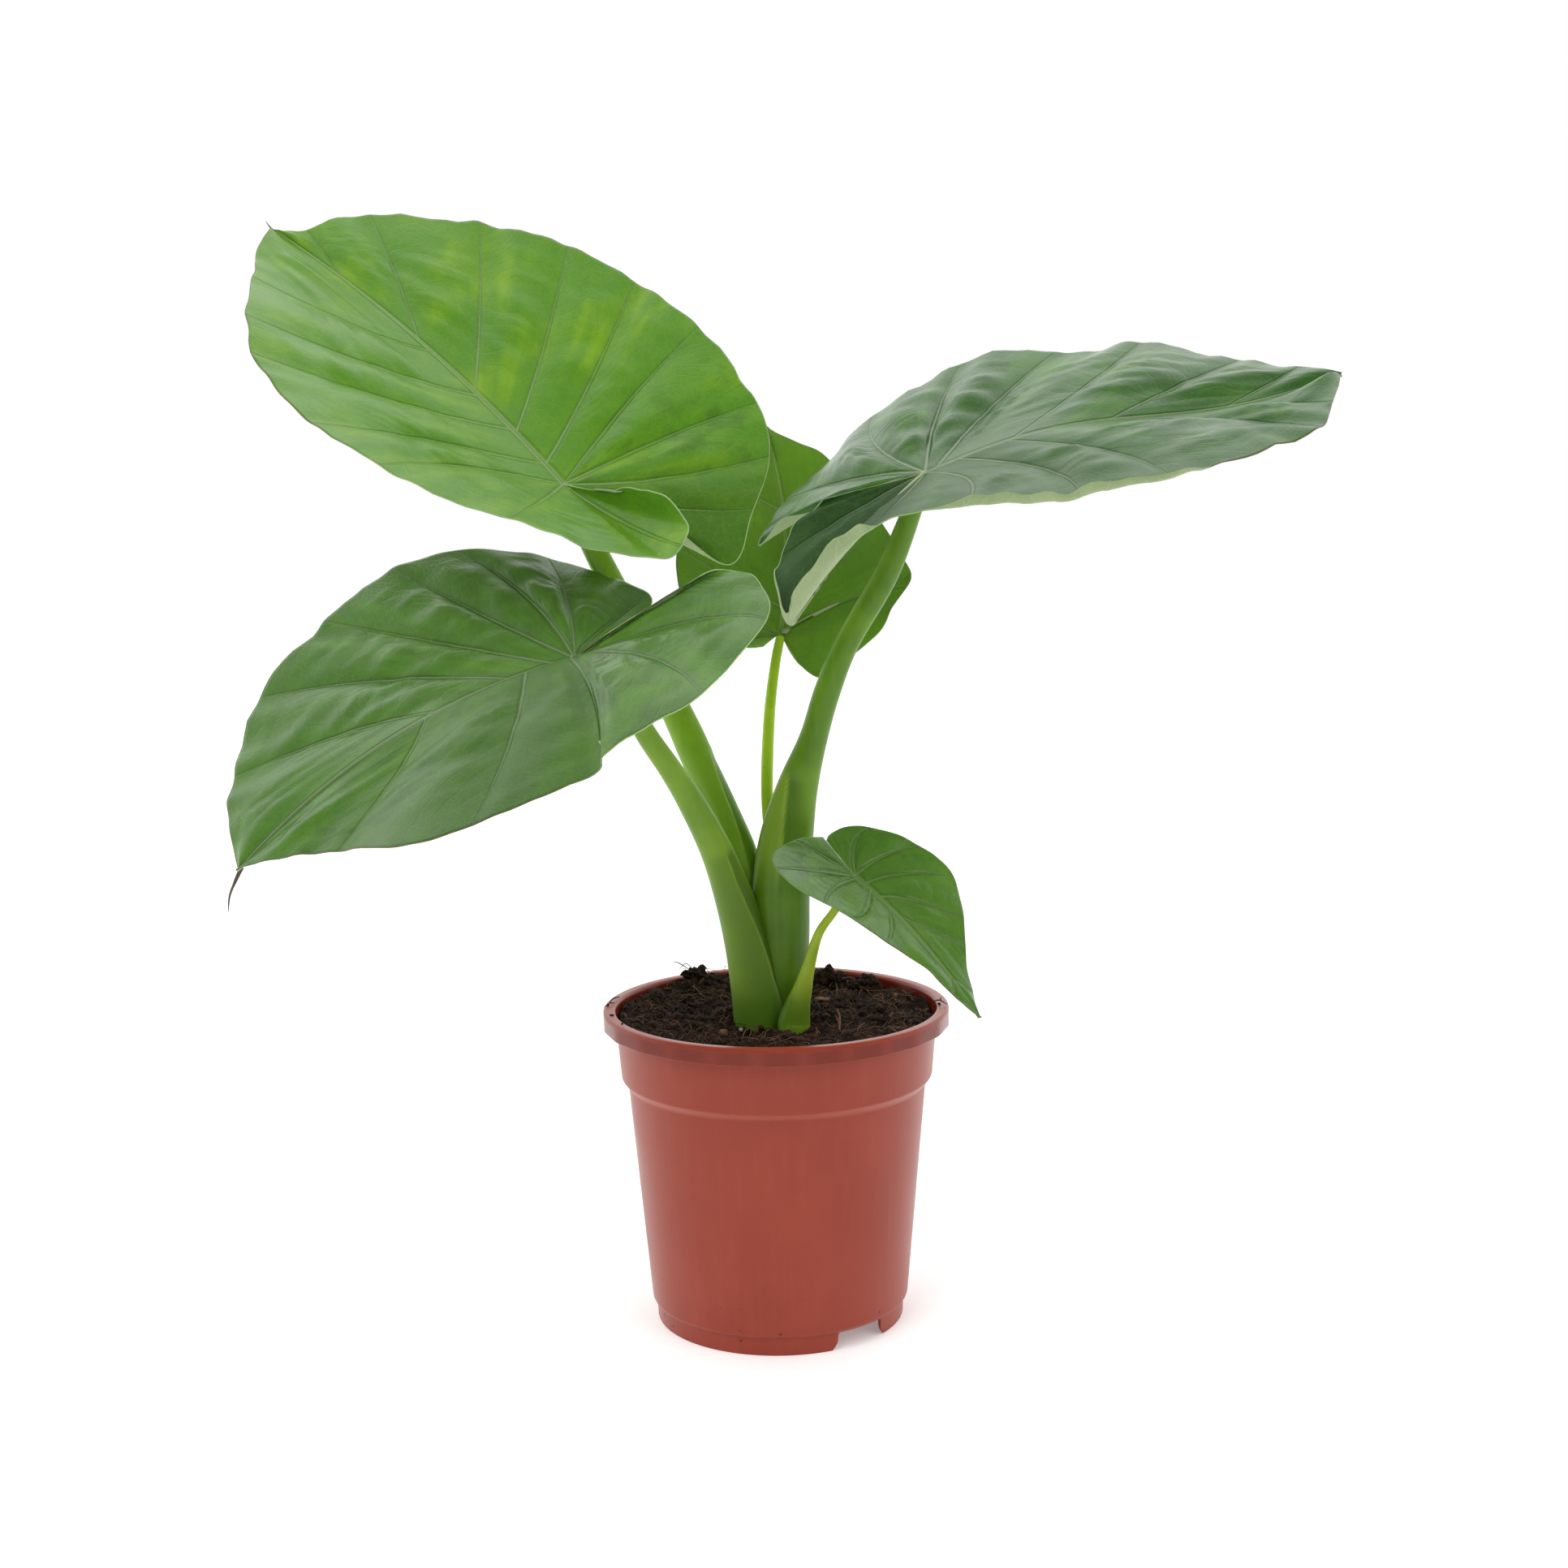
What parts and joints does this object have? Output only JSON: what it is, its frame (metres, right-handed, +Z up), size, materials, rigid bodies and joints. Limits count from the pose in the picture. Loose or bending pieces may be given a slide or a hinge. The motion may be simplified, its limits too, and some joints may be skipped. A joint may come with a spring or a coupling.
{
  "type": "potted alocasia plant",
  "caption": "Potted alocasia: arrow-shaped quilted leaves on sheathed stalks, growing from a corm in peat soil, in a round plastic nursery pot with a rolled rim.",
  "frame": {"origin": "centre of the pot's underside, on the pot's axis", "axes": "+Z up along the pot's axis; -Y towards the front that the picture shows, +X to its right"},
  "size_m": [0.5483, 0.3246, 0.5587],
  "materials": {
    "pot_plastic": "terracotta-red moulded plastic, semi-gloss, with dust and soil specks",
    "peat_soil": "dark brown peat with coir fibres, dry and matt",
    "corm": "brown scaly corm skin and pale roots",
    "leaf_blade": "waxy mid-green blade with pale veins, semi-gloss above and paler below",
    "leaf_stalk": "smooth juicy green stalk, lighter at its edges"
  },
  "bodies": {
    "root": {"pot": "pot_plastic", "soil": "peat_soil", "corm_and_roots": "corm", "upper_left_leaf_blade": "leaf_blade", "upper_left_leaf_stalk": "leaf_stalk", "lower_left_leaf_blade": "leaf_blade", "lower_left_leaf_stalk": "leaf_stalk", "right_leaf_blade": "leaf_blade", "right_leaf_stalk": "leaf_stalk", "back_leaf_blade": "leaf_blade", "back_leaf_stalk": "leaf_stalk", "small_leaf_blade": "leaf_blade", "small_leaf_stalk": "leaf_stalk"}
  },
  "joints": []
}
